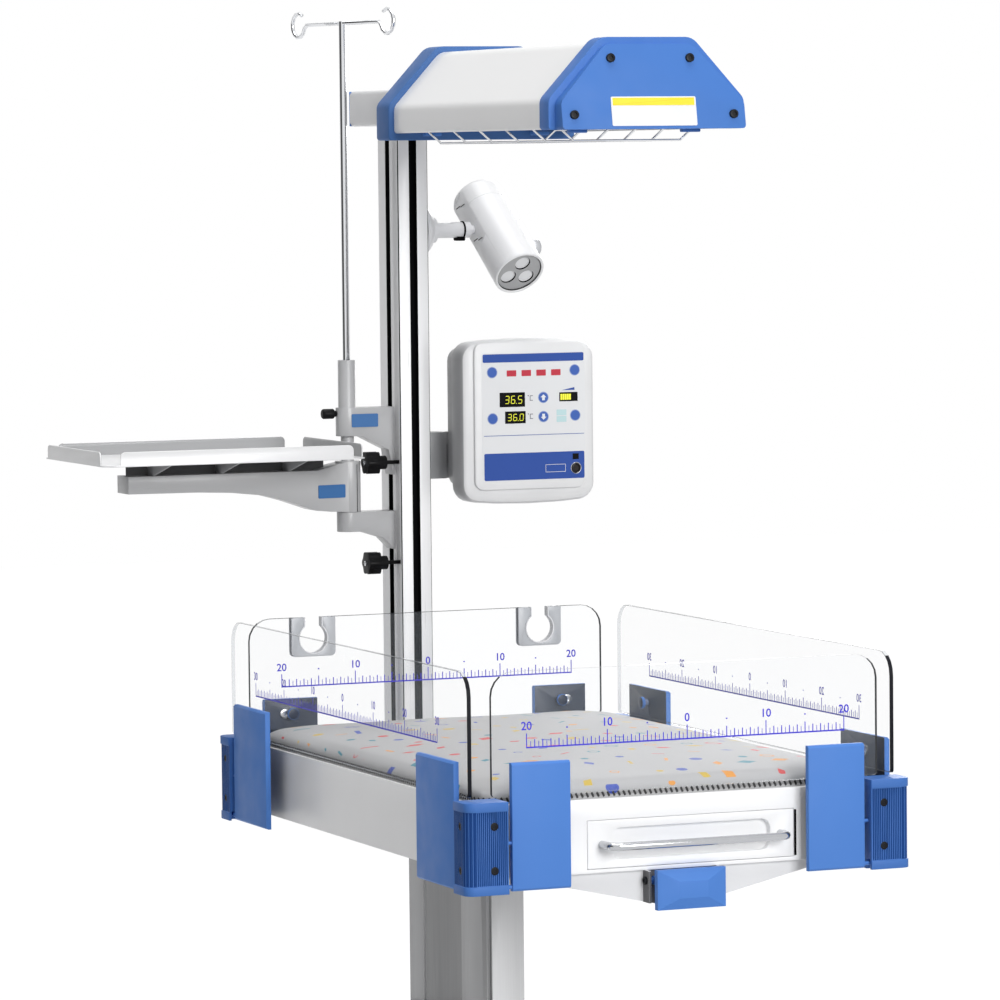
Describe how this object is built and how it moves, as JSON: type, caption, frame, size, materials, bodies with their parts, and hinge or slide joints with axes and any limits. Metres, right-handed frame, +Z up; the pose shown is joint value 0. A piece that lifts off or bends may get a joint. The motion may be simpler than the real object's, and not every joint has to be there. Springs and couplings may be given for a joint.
{
  "type": "infant radiant warmer",
  "caption": "Mobile bed with fold-down clear walls on a lifting column, under a swivelling heater head, with lamp, control box, tray, drip pole and drawer.",
  "frame": {"origin": "floor level, under the middle of the whole object's outline seen from above", "axes": "+Z up, -Y towards the foot of the bed where the drawer opens, +X to the right seen from there, the tray at -X"},
  "size_m": [0.737, 1.005, 1.856],
  "materials": {
    "white_paint": "smooth semi-gloss white powder coat",
    "grey_paint": "satin light grey paint on cast metal",
    "blue_plastic": "satin mid-blue moulded plastic",
    "white_plastic": "satin off-white moulded plastic",
    "column_metal": "satin anodised extrusion",
    "chrome": "polished bright metal",
    "black_plastic": "matte black moulded plastic",
    "tyre": "grey tread rubber on a plastic hub",
    "clear_panel": "clear polished acrylic sheet",
    "mattress_cover": "grey wipe-clean cover with a small scattered print",
    "reflector": "bright rolled aluminium",
    "heater_tube": "tinted quartz tube"
  },
  "bodies": {
    "base": {"base_frame": "white_paint", "base_column": "white_paint"},
    "lift": {"lift_column": "column_metal", "upper_column": "column_metal", "lamp_mount": "white_paint", "control_hinge": "grey_paint", "iv_bracket": "grey_paint", "tray_bracket": "grey_paint"},
    "bed": {"bed_frame": "white_paint", "mattress": "mattress_cover", "under_pan": "white_paint", "wall_rear": "clear_panel", "clamp_plate_rear_left": "blue_plastic", "clamp_plate_rear_right": "blue_plastic", "tube_grommet_left": "white_plastic", "tube_grommet_right": "white_plastic", "corner_block_front_left": "blue_plastic", "corner_block_front_right": "blue_plastic", "corner_block_rear_left": "blue_plastic", "corner_block_rear_right": "blue_plastic"},
    "drawer": {"drawer": "white_paint", "drawer_handle": "chrome"},
    "tilt_handle": {"tilt_handle": "blue_plastic"},
    "front_wall": {"wall_front": "clear_panel", "clamp_plate_front_left": "blue_plastic", "clamp_plate_front_right": "blue_plastic"},
    "left_wall": {"wall_left": "clear_panel", "clamp_plate_left_front": "blue_plastic", "clamp_plate_left_rear": "blue_plastic"},
    "right_wall": {"wall_right": "clear_panel", "clamp_plate_right_front": "blue_plastic", "clamp_plate_right_rear": "blue_plastic"},
    "head": {"head_arm": "white_paint", "head_rear_cap": "blue_plastic", "head_shell": "white_plastic", "head_front_cap": "blue_plastic", "head_reflector": "reflector", "heater_element": "heater_tube", "wire_guard": "chrome"},
    "lamp": {"lamp_body": "white_plastic", "lamp_face": "grey_paint"},
    "control_box": {"control_arm": "grey_paint", "control_case": "white_plastic", "control_front": "white_plastic"},
    "iv_pole": {"iv_pole": "chrome"},
    "iv_knob": {"iv_knob": "black_plastic"},
    "tray": {"tray_arm": "grey_paint", "tray": "white_paint"},
    "clamp_knob_upper": {"clamp_knob_upper": "black_plastic"},
    "clamp_knob_lower": {"clamp_knob_lower": "black_plastic"},
    "castor_front_left": {"castor_fork_front_left": "grey_paint"},
    "wheel_front_left": {"castor_wheel_front_left": "tyre"},
    "brake_front_left": {"castor_brake_front_left": "blue_plastic"},
    "castor_front_right": {"castor_fork_front_right": "grey_paint"},
    "wheel_front_right": {"castor_wheel_front_right": "tyre"},
    "brake_front_right": {"castor_brake_front_right": "blue_plastic"},
    "castor_rear_left": {"castor_fork_rear_left": "grey_paint"},
    "wheel_rear_left": {"castor_wheel_rear_left": "tyre"},
    "castor_rear_right": {"castor_fork_rear_right": "grey_paint"},
    "wheel_rear_right": {"castor_wheel_rear_right": "tyre"}
  },
  "joints": [
    {"name": "column_lift", "type": "slide", "parent": "base", "child": "lift", "axis": [0, 0, 1], "range_m": [-0.08, 0.12]},
    {"name": "bed_tilt", "type": "hinge", "parent": "lift", "child": "bed", "pos_m": [0.0805, 0.1775, 0.87], "axis": [1, 0, 0], "range_deg": [-5, 10]},
    {"name": "drawer_slide", "type": "slide", "parent": "bed", "child": "drawer", "axis": [0, -1, 0], "range_m": [0, 0.28]},
    {"name": "tilt_handle_pull", "type": "hinge", "parent": "bed", "child": "tilt_handle", "pos_m": [0.0805, -0.4705, 0.835], "axis": [1, 0, 0], "range_deg": [0, 10], "stiffness_Nm_per_rad": 1, "springref_deg": -3.44},
    {"name": "front_wall_fold", "type": "hinge", "parent": "bed", "child": "front_wall", "pos_m": [0.0805, -0.4905, 0.841], "axis": [1, 0, 0], "range_deg": [0, 180]},
    {"name": "left_wall_fold", "type": "hinge", "parent": "bed", "child": "left_wall", "pos_m": [-0.19225, -0.0875, 0.841], "axis": [0, -1, 0], "range_deg": [0, 180]},
    {"name": "right_wall_fold", "type": "hinge", "parent": "bed", "child": "right_wall", "pos_m": [0.35325, -0.0875, 0.841], "axis": [0, 1, 0], "range_deg": [0, 180]},
    {"name": "head_swivel", "type": "hinge", "parent": "lift", "child": "head", "pos_m": [0.0805, 0.389, 1.7062], "axis": [0, 0, 1], "range_deg": [-20, 90]},
    {"name": "lamp_tilt", "type": "hinge", "parent": "lift", "child": "lamp", "pos_m": [0.2073, 0.3725, 1.572], "axis": [1, 0, 0], "range_deg": [-40, 45]},
    {"name": "control_box_swing", "type": "hinge", "parent": "lift", "child": "control_box", "pos_m": [0.1405, 0.3725, 1.252], "axis": [0, 0, 1], "range_deg": [-10, 60]},
    {"name": "drip_pole_slide", "type": "slide", "parent": "lift", "child": "iv_pole", "axis": [0, 0, 1], "range_m": [0, 0.15]},
    {"name": "drip_pole_knob_turn", "type": "hinge", "parent": "lift", "child": "iv_knob", "pos_m": [-0.0148, 0.3745, 1.339], "axis": [1, 0, 0], "range_deg": [0, 360]},
    {"name": "tray_swing", "type": "hinge", "parent": "lift", "child": "tray", "pos_m": [0, 0.3745, 1.2125], "axis": [0, 0, 1], "range_deg": [-70, 45]},
    {"name": "clamp_knob_upper_turn", "type": "hinge", "parent": "lift", "child": "clamp_knob_upper", "pos_m": [0.0595, 0.3555, 1.2755], "axis": [1, 0, 0], "range_deg": [0, 360]},
    {"name": "clamp_knob_lower_turn", "type": "hinge", "parent": "lift", "child": "clamp_knob_lower", "pos_m": [0.0595, 0.3555, 1.1465], "axis": [1, 0, 0], "range_deg": [0, 360]},
    {"name": "castor_swivel_front_left", "type": "hinge", "parent": "base", "child": "castor_front_left", "pos_m": [-0.1815, -0.4245, 0.11], "axis": [0, 0, 1], "continuous": true},
    {"name": "wheel_spin_front_left", "type": "hinge", "parent": "castor_front_left", "child": "wheel_front_left", "pos_m": [-0.1815, -0.3945, 0.05], "axis": [1, 0, 0], "continuous": true},
    {"name": "brake_press_front_left", "type": "hinge", "parent": "castor_front_left", "child": "brake_front_left", "pos_m": [-0.1815, -0.3325, 0.084], "axis": [-1, 0, 0], "range_deg": [0, 10]},
    {"name": "castor_swivel_front_right", "type": "hinge", "parent": "base", "child": "castor_front_right", "pos_m": [0.3425, -0.4245, 0.11], "axis": [0, 0, 1], "continuous": true},
    {"name": "wheel_spin_front_right", "type": "hinge", "parent": "castor_front_right", "child": "wheel_front_right", "pos_m": [0.3425, -0.3945, 0.05], "axis": [1, 0, 0], "continuous": true},
    {"name": "brake_press_front_right", "type": "hinge", "parent": "castor_front_right", "child": "brake_front_right", "pos_m": [0.3425, -0.3325, 0.084], "axis": [-1, 0, 0], "range_deg": [0, 10]},
    {"name": "castor_swivel_rear_left", "type": "hinge", "parent": "base", "child": "castor_rear_left", "pos_m": [-0.1815, 0.347, 0.11], "axis": [0, 0, 1], "continuous": true},
    {"name": "wheel_spin_rear_left", "type": "hinge", "parent": "castor_rear_left", "child": "wheel_rear_left", "pos_m": [-0.1815, 0.377, 0.05], "axis": [1, 0, 0], "continuous": true},
    {"name": "castor_swivel_rear_right", "type": "hinge", "parent": "base", "child": "castor_rear_right", "pos_m": [0.3425, 0.347, 0.11], "axis": [0, 0, 1], "continuous": true},
    {"name": "wheel_spin_rear_right", "type": "hinge", "parent": "castor_rear_right", "child": "wheel_rear_right", "pos_m": [0.3425, 0.377, 0.05], "axis": [1, 0, 0], "continuous": true}
  ]
}
